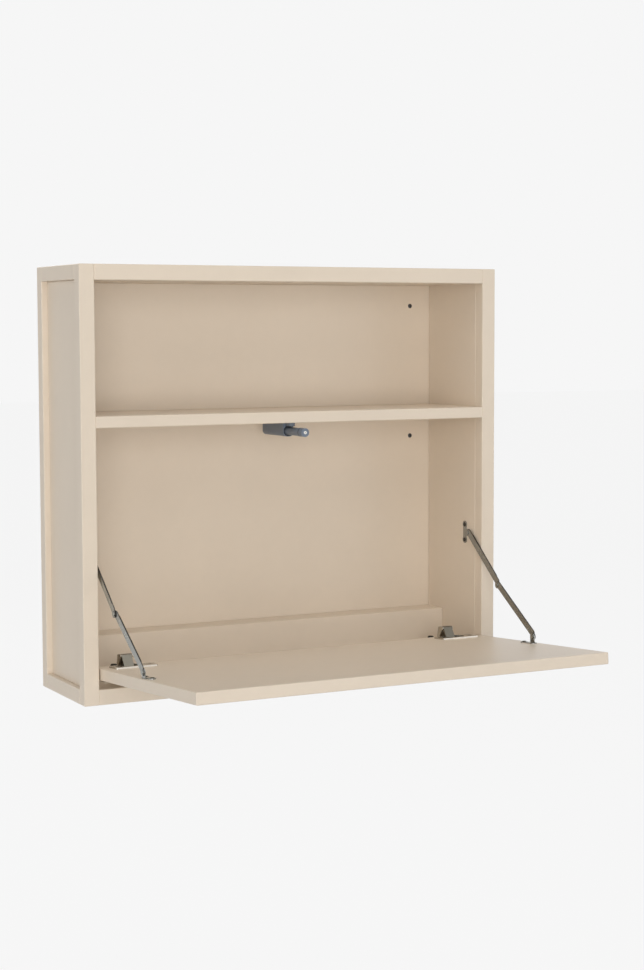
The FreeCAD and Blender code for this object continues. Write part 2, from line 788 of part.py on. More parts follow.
def reach(from_y, from_z, to_y, to_z):
    """Length of an arm between two pivots."""
    return "sqrt((" + to_y + " - " + from_y + ")^2 + (" + to_z + " - " + from_z + ")^2)"


def slope(from_y, from_z, to_y, to_z):
    """Turn about X that points an arm from one pivot to the other."""
    return "atan2(" + to_z + " - " + from_z + "; " + to_y + " - " + from_y + ")"


def wall_bracket(side, sign):
    """The bracket on the cabinet side: two round screw pads, a narrow waist and a pivot lug."""
    body = new_body(side + "_stay_wall_bracket")
    inwards = sign > 0
    middle = "(stay_strip_y - stay_pivot_y)"
    screws = ((middle, "-stay_screw_spacing / 2"), (middle, "stay_screw_spacing / 2"))
    waist = new_sketch(body, "waist")
    rectangle(waist, middle + " - stay_waist / 2", "-stay_screw_spacing / 2",
              middle + " + stay_waist / 2", "stay_screw_spacing / 2")
    pad(body, waist, "stay_plate", inwards)
    neck = new_sketch(body, "neck")
    rectangle(neck, "0", "-stay_lobe", middle, "stay_lobe")
    pad(body, neck, "stay_plate", inwards)
    for name, across, up in (("lug", "0", "0"), ("low_pad", *screws[0]), ("high_pad", *screws[1])):
        disc = new_sketch(body, name)
        circle(disc, across, up, "stay_lobe")
        pad(body, disc, "stay_plate", inwards)
    inner_face = "-stay_plate" if inwards else "stay_plate"
    countersunk_holes(body, "screw_holes", "YZ", inner_face, screws, backwards=inwards)
    place(body, inset_start(sign, "0", "0"), PIVOT_Y, PIVOT_Z)


def stay_arm(label, sign, inset, start, end, outwards):
    """One pressed arm: a flat web, a folded upper edge and a round lobe at each pivot.

    The upper side is wider than the lower side, so that the arms lie side by side when the
    stay is folded. The edge folds away from the other arm."""
    body = new_body(label)
    backwards = (sign > 0) != outwards
    length = reach(*start, *end)
    upper = "(stay_arm_width / 2 + stay_arm_shift)"
    lower = "(stay_arm_shift - stay_arm_width / 2)"
    web = new_sketch(body, "web")
    rectangle(web, "0", lower, length, upper)
    strip = pad(body, web, "stay_web", backwards)
    shoulder = number(upper)
    body.Tip = round_edges(body, strip, "stay_arm_corner",
                           lambda edge: edge_runs(edge, 0)
                           and abs(edge.CenterOfMass.z - shoulder) < 0.1)
    lobes = new_sketch(body, "lobes")
    circle(lobes, "0", "0", "stay_lobe")
    circle(lobes, length, "0", "stay_lobe")
    pad(body, lobes, "stay_web", backwards)
    fold = new_sketch(body, "fold")
    rectangle(fold, "stay_flange_start", upper + " - stay_fold", length + " - stay_flange_start",
              upper)
    pad(body, fold, "stay_flange", backwards)
    holes = new_sketch(body, "holes")
    circle(holes, "0", "0", "stay_rivet + running_gap")
    circle(holes, length, "0", "stay_rivet + running_gap")
    pocket(body, holes, "4 * stay_web", both_ways=True)
    place(body, inset_start(sign, inset, inset), start[0], start[1], slope(*start, *end))


def flap_bracket(side, sign):
    """The bracket on the flap: the same strip with its pivot lug folded up from its outer edge."""
    body = new_body(side + "_stay_flap_bracket")
    inwards = sign > 0
    near = "-" if inwards else ""
    screws = [(near + STAY_SCREW_IN, "stay_flap_along" + end + "stay_screw_spacing / 2")
              for end in (" - ", " + ")]
    slabs = (("waist", STAY_SCREW_IN + " - stay_waist / 2", STAY_SCREW_IN + " + stay_waist / 2",
              "stay_screw_spacing / 2"), ("fold", LUG_OUTER, STAY_SCREW_IN, "stay_lobe"))
    for name, outer, inner, half in slabs:
        slab = new_sketch(body, name, "XZ", flap_plane())
        edges = sorted((near + "(" + outer + ")", near + "(" + inner + ")"), key=number)
        rectangle(slab, edges[0], "stay_flap_along - " + half, edges[1], "stay_flap_along + " + half)
        pad(body, slab, "stay_plate", True)
    for index, (across, along) in enumerate(screws):
        disc = new_sketch(body, "pad%d" % (index + 1), "XZ", flap_plane())
        circle(disc, across, along, "stay_lobe")
        pad(body, disc, "stay_plate", True)
    upright = new_sketch(body, "upright", "YZ", near + LUG_OUTER)
    rectangle(upright, FLAP_INNER, "stay_flap_along - stay_lobe", LUG_RISE,
              "stay_flap_along + stay_lobe")
    pad(body, upright, "stay_lug", inwards)
    lug = new_sketch(body, "lug", "YZ", near + LUG_OUTER)
    circle(lug, LUG_RISE, "stay_flap_along", "stay_lobe")
    pad(body, lug, "stay_lug", inwards)
    hole = new_sketch(body, "pivot_hole", "YZ", near + LUG_OUTER)
    circle(hole, LUG_RISE, "stay_flap_along", "stay_rivet + running_gap")
    pocket(body, hole, "4 * stay_lug", both_ways=True)
    countersunk_holes(body, "screw_holes", "XZ", flap_plane() + " - stay_plate", screws,
                      backwards=True)
    place_on_flap(body, inset_start(sign, "0", "0"))


def stays():
    """Both folding stays: bracket, upper arm, lower arm, flap bracket, rivets and screws."""
    wall_screws = []
    flap_screws = []
    pivot = (PIVOT_Y, PIVOT_Z)
    knee = (KNEE_Y, KNEE_Z)
    lug = (LUG_Y, LUG_Z)
    for side, sign in SIDES:
        wall_bracket(side, sign)
        stay_arm(side + "_stay_upper_arm", sign, UPPER_INNER, knee, pivot, True)
        stay_arm(side + "_stay_lower_arm", sign, LOWER_OUTER, lug, knee, False)
        flap_bracket(side, sign)
        rivet(side + "_stay_wall_rivet", sign, UPPER_OUTER, UPPER_INNER,
              "(stay_flange - stay_web)", *pivot)
        rivet(side + "_stay_knee_rivet", sign, UPPER_OUTER + " - running_gap", LOWER_INNER,
              "stay_head_height", *knee)
        rivet(side + "_stay_flap_rivet", sign, LOWER_OUTER + " - running_gap", LUG_INNER,
              "stay_head_height", *lug)
        turn = "-90" if sign > 0 else "90"
        for end in (" - ", " + "):
            screw = countersunk_screw("wall_bracket_screw")
            place(screw, inset_start(sign, "stay_plate", "stay_plate"),
                  "stay_strip_y - cabinet_depth", PIVOT_Z + end + "stay_screw_spacing / 2",
                  turn, Y_AXIS)
            wall_screws.append(screw)
            screw = countersunk_screw("flap_bracket_screw")
            place(screw, inset_start(sign, STAY_SCREW_IN, STAY_SCREW_IN),
                  FLAP_INNER + " + stay_plate",
                  "stay_flap_along" + end + "stay_screw_spacing / 2", "-90")
            flap_screws.append(screw)
    group("stay_wall_screws", wall_screws)
    place_on_flap(group("stay_flap_screws", flap_screws))


# ---------------------------------------------------------------- push latch

def latch_housing():
    """The latch body: a bored block with a round underside and a screw tab at each end."""
    body = new_body("latch_housing")
    floor = "latch_axis_drop - latch_height"
    block = new_sketch(body, "block", "XZ", "-latch_front")
    rectangle(block, "-latch_width / 2", floor, "latch_width / 2", "latch_axis_drop")
    blank = pad(body, block, "latch_length", True)
    low = number(floor)
    belly = round_edges(body, blank, "latch_corner", lambda edge: edge_runs(edge, 1)
                        and edge.CenterOfMass.z < low + 0.1)
    back = number("latch_front + latch_length")
    top = number("latch_axis_drop")
    rim = body.newObject("PartDesign::Chamfer", body.Label + "_back_rim")
    rim.Base = (belly, picked_edges(belly, lambda edge: edge.CenterOfMass.y > back - 0.1
                                    and edge.CenterOfMass.z < top - 0.1))
    bind(rim, Size="latch_rim")
    bar = new_sketch(body, "tabs", "XY", "latch_axis_drop")
    rectangle(bar, "-latch_tab_width / 2", LATCH_SCREW_ROWS[0], "latch_tab_width / 2",
              LATCH_SCREW_ROWS[1])
    pad(body, bar, "latch_tab_thickness", True)
    ends = new_sketch(body, "tab_ends", "XY", "latch_axis_drop")
    for row in LATCH_SCREW_ROWS:
        circle(ends, "0", row, "latch_tab_width / 2")
    pad(body, ends, "latch_tab_thickness", True)
    for name, radius, depth in (("bore", "plunger_radius + running_gap", "latch_bore_depth"),
                                ("mouth", "latch_mouth", "latch_mouth_depth")):
        opening = new_sketch(body, name, "XZ", "-latch_front")
        circle(opening, "0", "0", radius)
        pocket(body, opening, depth)
    countersunk_holes(body, "screw_holes", "XY", "latch_axis_drop - latch_tab_thickness",
                      [("0", row) for row in LATCH_SCREW_ROWS], backwards=True)
    place(body, "0", FRONT_Y, SHELF_Z + " - latch_axis_drop")


def latch():
    """The push latch: housing, screws, plunger and the disc in the plunger's tip."""
    latch_housing()
    screws = []
    for row in LATCH_SCREW_ROWS:
        screw = countersunk_screw("latch_screw")
        place(screw, "0", FRONT_Y + " + " + row, SHELF_Z + " - latch_tab_thickness", "180")
        screws.append(screw)
    group("latch_screws", screws)

    axis_z = SHELF_Z + " - latch_axis_drop"
    pieces = (("rod", "plunger_radius", "plunger_head_back", "latch_front + plunger_inside"),
              ("neck", "plunger_radius - plunger_groove",
               "plunger_head_back - plunger_groove", "plunger_head_back"),
              ("head", "plunger_head_radius", "plunger_tip",
               "plunger_head_back - plunger_groove"))
    solids = []
    for name, radius, start, end in pieces:
        solids.append(cylinder("plunger_" + name, radius, "(" + end + ") - (" + start + ")",
                               "0", FRONT_Y + " + " + start, axis_z, "y"))
    recess = cylinder("plunger_recess", "plunger_disc_radius + running_gap", "3",
                      "0", FRONT_Y + " + plunger_tip", axis_z, "y")
    plunger = cut("latch_plunger", fused("plunger_blank", solids), recess)
    plunger.Label = "latch_plunger"
    disc = cylinder("latch_disc", "plunger_disc_radius", "3 + plunger_disc_proud",
                    "0", FRONT_Y + " + plunger_tip - plunger_disc_proud", axis_z, "y")
    disc.Label = "latch_disc"
    parts.extend([plunger, disc])


# ---------------------------------------------------------------- build and write

for side, sign in SIDES:
    side_frame(side, sign)
cross_boards()
back_and_ledge()
carcass_dowels()
flap_board()
hinges()
stays()
latch()
doc.recompute()

faults = []
for item in doc.Objects:
    if "Invalid" in item.State or "Error" in item.State:
        faults.append(item.Name + " " + str(item.State))
for item in parts:
    if item.Shape.isNull() or not item.Shape.isValid():
        faults.append(item.Label + " has no valid shape")
if faults:
    raise SystemExit("failed objects: " + ", ".join(faults))

os.makedirs("parts", exist_ok=True)
for item in parts:
    item.Shape.exportStep(os.path.join("parts", item.Label + ".step"))
print("wrote %d nodes" % len(parts))
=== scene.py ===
import json
import math

import bpy
from mathutils import Matrix, Quaternion, Vector

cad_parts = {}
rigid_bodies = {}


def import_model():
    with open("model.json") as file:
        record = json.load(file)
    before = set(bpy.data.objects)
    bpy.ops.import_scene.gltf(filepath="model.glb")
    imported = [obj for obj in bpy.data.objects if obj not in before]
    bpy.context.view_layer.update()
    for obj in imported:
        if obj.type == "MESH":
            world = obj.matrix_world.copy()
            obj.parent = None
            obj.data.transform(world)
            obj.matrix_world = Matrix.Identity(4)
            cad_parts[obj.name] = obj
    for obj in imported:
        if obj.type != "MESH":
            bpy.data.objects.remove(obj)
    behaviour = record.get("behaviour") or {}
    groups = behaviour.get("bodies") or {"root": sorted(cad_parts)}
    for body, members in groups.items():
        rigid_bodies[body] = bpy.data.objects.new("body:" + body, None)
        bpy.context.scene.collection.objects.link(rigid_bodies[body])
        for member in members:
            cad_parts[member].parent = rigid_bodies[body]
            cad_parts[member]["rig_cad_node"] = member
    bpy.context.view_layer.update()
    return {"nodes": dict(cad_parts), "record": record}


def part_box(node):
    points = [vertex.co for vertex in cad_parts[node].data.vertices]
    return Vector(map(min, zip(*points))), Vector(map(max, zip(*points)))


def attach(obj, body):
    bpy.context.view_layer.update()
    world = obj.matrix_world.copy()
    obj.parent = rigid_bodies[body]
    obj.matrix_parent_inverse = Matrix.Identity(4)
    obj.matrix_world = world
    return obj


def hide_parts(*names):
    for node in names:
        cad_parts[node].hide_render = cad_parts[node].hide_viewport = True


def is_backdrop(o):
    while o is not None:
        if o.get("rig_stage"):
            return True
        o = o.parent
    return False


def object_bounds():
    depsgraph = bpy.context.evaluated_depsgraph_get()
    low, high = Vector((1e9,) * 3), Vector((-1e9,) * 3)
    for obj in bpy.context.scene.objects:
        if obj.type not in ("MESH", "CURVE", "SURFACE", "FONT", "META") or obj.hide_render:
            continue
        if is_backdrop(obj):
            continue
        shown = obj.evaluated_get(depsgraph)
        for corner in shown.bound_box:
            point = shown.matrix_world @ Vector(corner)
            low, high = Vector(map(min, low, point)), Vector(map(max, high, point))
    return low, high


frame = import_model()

bl_info = {
    "name": "Fold down wall desk",
    "version": (1, 0, 0),
    "blender": (4, 5, 0),
    "location": "3D View > Sidebar > Wall desk",
    "description": "Dresses a fold down wall desk with cup hinges, stays and a push latch",
    "category": "Object",
}

# All sizes are in metres: +Z is up, +Y goes into the wall, and the origin is the middle of the
# four wall holes. The desk is dressed with its flap open.
NODES = frame["nodes"]
RECORD = frame["record"]
MM = 0.001
UP = Vector((0, 0, 1))

JOINTS = {joint["name"]: joint for joint in RECORD["behaviour"]["joints"]}
OPEN_ANGLE = math.radians(JOINTS["flap_hinge"]["range_deg"][1])
FLAP_UP = Vector((0, math.cos(OPEN_ANGLE), math.sin(OPEN_ANGLE)))
WALL_HOLES = next(mount["dims"] for mount in RECORD["mounts"] if mount["name"] == "wall_screws")

BOARD_KINDS = ("stile", "rail", "panel", "board", "shelf")
BOARDS = [name for name in NODES if name.endswith(BOARD_KINDS) and name != "back_board"]
HINGE_PLATES = [name for name in NODES
                if name.endswith(("hinge_plate", "hinge_arm", "hinge_pin", "link_pin"))]
HINGE_CUPS = [name for name in NODES if name.endswith("hinge_cup")]
HINGE_LINKS = [name for name in NODES if name.endswith("hinge_link")]
STAY_ARMS = [name for name in NODES if name.endswith(("lower_arm", "upper_arm"))]
STAY_FITTINGS = [name for name in NODES if "stay" in name
                 and name.endswith(("bracket", "rivet"))]

# Colours that nobody would want to change
BARE_BEECH = (0.52, 0.36, 0.2)
# Painted shade for the inside of the wall holes in the back board
PAINTED_HOLE_SHADE = (0.035, 0.024, 0.016, 1.0)
# Painted highlight for the front edge of the hinge cup flanges
PAINTED_HIGHLIGHT = (0.96, 0.94, 0.89, 1.0)
# Painted shade for the edges and folds of the stay arms
PAINTED_EDGE_SHADE = (0.045, 0.040, 0.036, 1.0)
DIMPLE_BROWN = (0.42, 0.30, 0.18, 1.0)
FLOOR_GREY = (0.7, 0.7, 0.7, 1.0)
AIR_COLOUR = (1.0, 0.995, 0.985, 1.0)

# A cross recess: two crossed slots, turned by these degrees, and a cone whose middle is level
# with the head
RECESS_LENGTH, RECESS_WIDTH, RECESS_DEPTH = 4.0 * MM, 0.9 * MM, 1.0 * MM
RECESS_TURNS = (20, 110)
CONE_TIP, CONE_MOUTH, CONE_HEIGHT = 0.3 * MM, 1.5 * MM, 2.6 * MM

# Domed heads on the stay screws and at the rear of the hinge arms, with an eased rim
STAY_HEAD_RADIUS, STAY_HEAD_HEIGHT, STAY_HEAD_EASING = 3.3 * MM, 1.0 * MM, 0.9 * MM
ARM_HEAD_RADIUS, ARM_HEAD_HEIGHT, ARM_HEAD_EASING = 5.0 * MM, 8.5 * MM, 2.0 * MM
LOW_HEAD_RADIUS, ARM_THICKNESS = 3.0 * MM, 4.0 * MM

# Points this near to the first point of a head belong to it. The rear arm screws are wider than
# that, so some points of their rims count as heads of their own and get recesses too.
HEAD_REACH = 8.0 * MM
# Points this little below the highest one lie on the flat top
HEAD_SLACK = 0.05 * MM

# The part of the floor's look that is plain background; the rest takes light and shadow. The
# glow makes up for what that rest lacks in brightness.
FLOOR_GLOW_SHARE = 0.94
FLOOR_GLOW = 1.035
FLOOR_SIZE = 60.0

# Name, place, size of the square, and power as a share of the key light
LAMPS = (
    ("key_lamp", (-2.2, -4.8, 0.3), 2.4, 1.0),
    ("low_lamp", (-1.2, -5.0, -0.5), 1.5, 0.42),
    ("left_lamp", (-4.5, -0.45, 0.6), 3.6, 0.62),
    ("right_lamp", (4.0, -4.0, 0.4), 3.0, 0.38),
    ("overhead_lamp", (-0.2, -1.1, 3.4), 2.6, 0.44),
    ("top_lamp", (-0.5, -3.3, 3.6), 2.6, 0.44),
    ("rear_lamp", (0.4, 4.4, 3.0), 2.4, 0.85),
)
LAMP_TARGET = Vector((0, -0.1, -0.2))

CAMERA_PLACE = (-1.28961, -2.75779, 0.06922)
CAMERA_YAW, CAMERA_PITCH, CAMERA_ROLL = 0.476458857, 0.0818338604, -0.00294815858
FOCAL_PIXELS, FRAME_HEIGHT = 1896.74, 970
SENSOR = 36.0


def inwards(place):
    """The direction from a side wall into the cabinet."""
    return Vector((-1 if place.x > 0 else 1, 0, 0))


# CAD node, the body that it rides on, and the direction that a head faces at a place
SCREW_SETS = (
    ("hinge_cup_screws", "flap", lambda place: FLAP_UP),
    ("stay_flap_screws", "flap", lambda place: FLAP_UP),
    ("hinge_plate_screws", "cabinet", lambda place: UP),
    ("latch_screws", "cabinet", lambda place: -UP),
    ("stay_wall_screws", "cabinet", inwards),
)


# ---------------------------------------------------------------- shader writing

class Wire:
    """A socket that can be used in a sum. Each operator adds its own Math node."""

    def __init__(self, wiring, socket):
        self.wiring = wiring
        self.socket = socket

    def other(self, output):
        """Another output of the same node."""
        return Wire(self.wiring, self.socket.node.outputs[output])

    def math(self, operation, *values):
        """A Math node on some wires or numbers."""
        return self.wiring.add("ShaderNodeMath", {"operation": operation}, values)

    def __add__(self, other):
        return self.math("ADD", self, other)

    def __radd__(self, other):
        return self.math("ADD", other, self)

    def __sub__(self, other):
        return self.math("SUBTRACT", self, other)

    def __rsub__(self, other):
        return self.math("SUBTRACT", other, self)

    def __mul__(self, other):
        return self.math("MULTIPLY", self, other)

    def __rmul__(self, other):
        return self.math("MULTIPLY", other, self)

    def __abs__(self):
        return self.math("ABSOLUTE", self)


class Wiring:
    """A node tree, with one way to add nodes of any kind to it."""

    def __init__(self, tree):
        self.tree = tree

    def add(self, kind, settings=None, inputs=(), output=0):
        """Add a node, set it up, and fill its sockets with numbers, colours or wires.

        The setting "stops" holds a ramp's two (place, brightness) stops."""
        node = self.tree.nodes.new(kind)
        for name, setting in (settings or {}).items():
            if name == "stops":
                for point, (place, brightness) in zip(node.color_ramp.elements, setting):
                    point.position = place
                    point.color = (brightness, brightness, brightness, 1.0)
            else:
                setattr(node, name, setting)
        pairs = inputs.items() if isinstance(inputs, dict) else enumerate(inputs)
        for key, content in pairs:
            self.fill(node.inputs[key], content)
        return Wire(self, node.outputs[output])

    def fill(self, socket, content):
        """Give a socket a wire or a constant."""
        if isinstance(content, Wire):
            self.tree.links.new(content.socket, socket)
        else:
            socket.default_value = content

    def seen_rays(self):
        """One for rays that see the surface, directly, in a reflection or through glass."""
        camera = self.add("ShaderNodeLightPath", output="Is Camera Ray")
        return camera + camera.other("Is Glossy Ray") + camera.other("Is Transmission Ray")


class Recipe(Wiring):
    """A material and its Principled shader, with short names for the nodes that finishes use."""

    def __init__(self, name):
        self.material = bpy.data.materials.new(name)
        self.material.use_nodes = True
        super().__init__(self.material.node_tree)
        self.shader = self.tree.nodes["Principled BSDF"]
        self.place = self.add("ShaderNodeTexCoord", output="Object")

    def feed(self, socket, content):
        """Give one of the shader's sockets a wire or a constant."""
        self.fill(self.shader.inputs[socket], content)

    def noise(self, scale, detail=2.0, place=None):
        """A cloudy pattern with a scale in repeats per metre."""
        return self.add("ShaderNodeTexNoise", {},
                        {"Vector": place or self.place, "Scale": scale, "Detail": detail,
                         "Roughness": 0.55}, "Fac")

    def along(self, axis):
        """One of the object coordinates, in metres."""
        return self.add("ShaderNodeSeparateXYZ", {}, {"Vector": self.place}, axis)

    def stretched(self, factors):
        """Object coordinates stretched along the axes."""
        return self.add("ShaderNodeMapping", {}, {"Vector": self.place, "Scale": factors},
                        "Vector")

    def facing(self, direction):
        """How far the surface faces a direction, from -1 to 1."""
        return self.add("ShaderNodeVectorMath", {"operation": "DOT_PRODUCT"},
                        [self.place.other("Normal"), direction], "Value")

    def radius(self, across, up):
        """How far a place lies from an axis along Y, by its distances across and up."""
        return self.add("ShaderNodeMath", {"operation": "SQRT"}, [across * across + up * up])

    def step(self, wire, start, end):
        """Zero at the start value, one at the end value, and straight between."""
        return self.add("ShaderNodeMapRange", {}, {"Value": wire, "From Min": start,
                                                   "From Max": end}, "Result")

    def blend(self, factor, first, second):
        """Mix two colours by a factor."""
        return self.add("ShaderNodeMix", {"data_type": "RGBA"},
                        {0: factor, 6: first, 7: second}, 2)

    def bump(self, height, distance, eased=0.0):
        """Relief from a height wire, with its depth in metres, and edges eased by a radius."""
        sockets = {"Strength": 1.0, "Distance": distance, "Height": height}
        if eased:
            sockets["Normal"] = self.add("ShaderNodeBevel", {"samples": 6}, {"Radius": eased})
        self.feed("Normal", self.add("ShaderNodeBump", {}, sockets, "Normal"))


def tint(colour, factor):
    """A colour made lighter or darker."""
    return tuple(channel * factor for channel in colour[:3]) + (1.0,)


# ---------------------------------------------------------------- finishes

def sprayed_paint(name, colour, roughness, holes=None):
    """Satin lacquer sprayed on board: a faint orange peel and a very slight cloudiness.

    holes are the sizes of the wall hole pattern; the inside of each hole gets painted shade, a
    near black brown."""
    paint = Recipe(name)
    cloud = paint.noise(7.0, 3.0)
    grime = paint.noise(60.0, 4.0)
    shade = paint.add("ShaderNodeValToRGB", {"stops": ((0.3, 0.0), (0.7, 1.0))},
                      [cloud * 0.7 + grime * 0.3], "Color")
    coat = paint.blend(shade, tint(colour, 0.975), tint(colour, 1.02))
    if holes:
        rim = (holes["hole_r_mm"] + 0.1) * MM
        spread = paint.radius(abs(paint.along("X")) - holes["spacing_x_mm"] / 2 * MM,
                              abs(paint.along("Z")) - holes["spacing_y_mm"] / 2 * MM)
        # Painted shade: near black brown inside each wall hole, standing in for the shade deep in
        # the hole
        coat = paint.blend(paint.step(spread, rim, rim + 0.2 * MM), PAINTED_HOLE_SHADE, coat)
    paint.feed("Base Color", coat)
    peel = paint.noise(420.0, 2.0)
    fine = paint.noise(1500.0, 1.0)
    paint.feed("Roughness", roughness - 0.03 + cloud * 0.05 + fine * 0.02)
    paint.bump(peel * 0.8 + fine * 0.2, 0.06 * MM)
    return paint.material


def plated_steel(name, colour, roughness, bright_from=None, black_edges=False):
    """Plate on pressed steel, with faint drawing lines and duller patches.

    bright_from is the place along Y forward of which an edge gets a painted highlight;
    black_edges paints shade on the sheared edges and folds of flat strips that face along X."""
    plate = Recipe(name)
    lines = plate.noise(260.0, 2.0, plate.stretched((7.0, 1.0, 1.0)))
    patch = plate.noise(70.0, 2.0)
    worn = plate.blend(patch, tint(colour, 0.9), tint(colour, 1.08))
    gloss = roughness + lines * 0.06 + patch * 0.06
    metal = 1.0
    if bright_from is not None:
        # Painted highlight: forward of bright_from the edge is pale, glossier and less metallic,
        # a bright line whatever the lamps do
        edge = plate.step(plate.along("Y"), bright_from, bright_from - 0.3 * MM)
        worn = plate.blend(edge, worn, PAINTED_HIGHLIGHT)
        gloss = gloss * (1 - edge * 0.5)
        metal = 1 - edge * 0.55
    if black_edges:
        # Painted shade: faces that don't face along X, the strips' edges and folds, go near black
        # and rougher
        edge = plate.step(abs(plate.facing((1, 0, 0))), 0.8, 0.4)
        worn = plate.blend(edge, worn, PAINTED_EDGE_SHADE)
        gloss = gloss + edge * 0.2
    plate.feed("Base Color", worn)
    plate.feed("Metallic", metal)
    plate.feed("Roughness", gloss)
    plate.bump(lines, 0.006 * MM, eased=0.3 * MM)
    return plate.material


def dark_zinc(name, colour, roughness=0.35):
    """Dark plated screws with a slightly worn head."""
    zinc = Recipe(name)
    patch = zinc.noise(500.0, 2.0)
    zinc.feed("Base Color", zinc.blend(patch, tint(colour, 0.7), tint(colour, 1.5)))
    zinc.feed("Metallic", 1.0)
    zinc.feed("Roughness", roughness + patch * 0.1)
    zinc.bump(patch, 0.008 * MM, eased=0.2 * MM)
    return zinc.material


def moulded_plastic(name, colour, roughness, groove=None, mouth=None):
    """Blue grey moulded plastic with a fine eroded grain.

    groove is the place along Y of a groove, which gets a dark ring of painted shade. mouth is the
    axis and the radius of the rim that the plunger slides in, which gets a dark ring of painted
    shade."""
    plastic = Recipe(name)
    grain = plastic.noise(1600.0, 2.0)
    cloud = plastic.noise(40.0, 3.0)
    shade = plastic.blend(cloud, tint(colour, 0.93), tint(colour, 1.08))
    if groove is not None:
        # Painted shade: a near black ring at the groove
        away = abs(plastic.along("Y") - groove)
        shade = plastic.blend(plastic.step(away, 0.7 * MM, 1.2 * MM), tint(colour, 0.12), shade)
    # Painted shade: a near black ring round the plunger at the housing's mouth
    if mouth is not None:
        axis, rim = mouth
        spread = plastic.radius(plastic.along("X") - axis.x, plastic.along("Z") - axis.z)
        shade = plastic.blend(plastic.step(spread, rim, rim + 0.5 * MM), tint(colour, 0.1), shade)
    plastic.feed("Base Color", shade)
    plastic.feed("Roughness", roughness + grain * 0.1)
    plastic.bump(grain, 0.02 * MM, eased=0.4 * MM)
    return plastic.material


def latch_tip(name, colour, centre):
    """The pale disc in the plunger, with a small warm dimple at its centre."""
    tip = Recipe(name)
    spread = tip.radius(tip.along("X") - centre.x, tip.along("Z") - centre.z)
    cloud = tip.noise(300.0, 2.0)
    pale = tip.blend(cloud, tint(colour, 0.97), tint(colour, 1.02))
    tip.feed("Base Color", tip.blend(tip.step(spread, 0.6 * MM, 1.1 * MM), DIMPLE_BROWN, pale))
    tip.feed("Roughness", 0.3 + cloud * 0.1)
    tip.bump(tip.step(spread, 0.5 * MM, 1.2 * MM), 0.3 * MM)
    return tip.material


def bare_wood(name, colour, roughness):
    """Bare dowel wood with fine fibres along the X axis."""
    wood = Recipe(name)
    fibres = wood.noise(500.0, 3.0, wood.stretched((0.06, 1.0, 1.0)))
    wood.feed("Base Color", wood.blend(fibres, tint(colour, 0.75), tint(colour, 1.15)))
    wood.feed("Roughness", roughness + fibres * 0.15)
    wood.bump(fibres, 0.08 * MM)
    return wood.material


def backdrop_white(name, seen):
    """Pale floor that shows as plain background and still takes a soft shadow."""
    pale = Recipe(name)
    mottle = pale.noise(3.0, 2.0)
    pale.feed("Base Color", pale.blend(mottle, tint(FLOOR_GREY, 0.99), FLOOR_GREY))
    pale.feed("Roughness", 0.9)
    glow = pale.add("ShaderNodeEmission", {}, {"Color": seen, "Strength": 1.0})
    lit = Wire(pale, pale.shader.outputs[0])
    surface = pale.add("ShaderNodeMixShader", {},
                       [pale.seen_rays() * FLOOR_GLOW_SHARE, lit, glow])
    pale.fill(pale.tree.nodes["Material Output"].inputs["Surface"], surface)
    return pale.material


def cover(names, material):
    """Give some CAD nodes one material."""
    for name in names:
        if not NODES[name].material_slots:
            NODES[name].data.materials.append(material)
        for slot in NODES[name].material_slots:
            slot.material = material


# ---------------------------------------------------------------- piece making

def select_only(*items):
    """Select some objects and nothing else; the first becomes the active one."""
    bpy.ops.object.select_all(action="DESELECT")
    for item in items:
        item.select_set(True)
    bpy.context.view_layer.objects.active = items[0]


def twin_of(node, name):
    """A new piece with the shape of a CAD node, its loose triangles joined."""
    select_only(NODES[node])
    bpy.ops.object.duplicate()
    piece = bpy.context.object
    piece.name = piece.data.name = name
    del piece["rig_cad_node"]
    bpy.ops.object.mode_set(mode="EDIT")
    bpy.ops.mesh.select_all(action="SELECT")
    bpy.ops.mesh.remove_doubles(threshold=0.001 * MM)
    bpy.ops.object.mode_set(mode="OBJECT")
    return piece


def work(piece, tool, operation):
    """Cut a tool's shape from a piece or weld it on, and throw the tool away."""
    select_only(piece)
    change = piece.modifiers.new("work", "BOOLEAN")
    change.operation = operation
    change.solver = "EXACT"
    change.object = tool
    bpy.ops.object.modifier_apply(modifier=change.name)
    bpy.data.objects.remove(tool)


def merged(items):
    """Make some new objects one, with its place in its mesh."""
    select_only(*items)
    if len(items) > 1:
        bpy.ops.object.join()
    bpy.ops.object.transform_apply(location=True, rotation=True, scale=True)
    return bpy.context.object


def turn_to(out, spin=0.0):
    """The turn that points a primitive's Z axis in a direction, after a spin in degrees."""
    upright = out.to_track_quat("Z", "Y") @ Quaternion((0, 0, 1), math.radians(spin))
    return upright.to_euler()


def screw_heads(piece, facing):
    """The middle of each screw head's flat top, and the direction it faces."""
    heads = []
    for vertex in piece.data.vertices:
        out = facing(vertex.co)
        height = vertex.co.dot(out)
        flat = vertex.co - out * height
        for head in heads:
            if head["out"] == out and (head["flat"] - flat).length < HEAD_REACH:
                break
        else:
            head = {"out": out, "flat": flat, "points": []}
            heads.append(head)
        head["points"].append((height, flat))
    found = []
    for head in heads:
        top = max(height for height, flat in head["points"])
        rim = [flat for height, flat in head["points"] if height > top - HEAD_SLACK]
        found.append((sum(rim, Vector()) / len(rim) + head["out"] * top, head["out"]))
    return found


def weld_dome(piece, centre, turn, radius, height, easing):
    """Weld a disc with an eased rim on a piece, with its middle at a place."""
    bpy.ops.mesh.primitive_cylinder_add(vertices=40, radius=radius, depth=height,
                                        location=centre, rotation=turn)
    dome = bpy.context.object
    ease = dome.modifiers.new("ease", "BEVEL")
    ease.width = easing
    ease.segments = 4
    bpy.ops.object.modifier_apply(modifier=ease.name)
    work(piece, merged([dome]), "UNION")


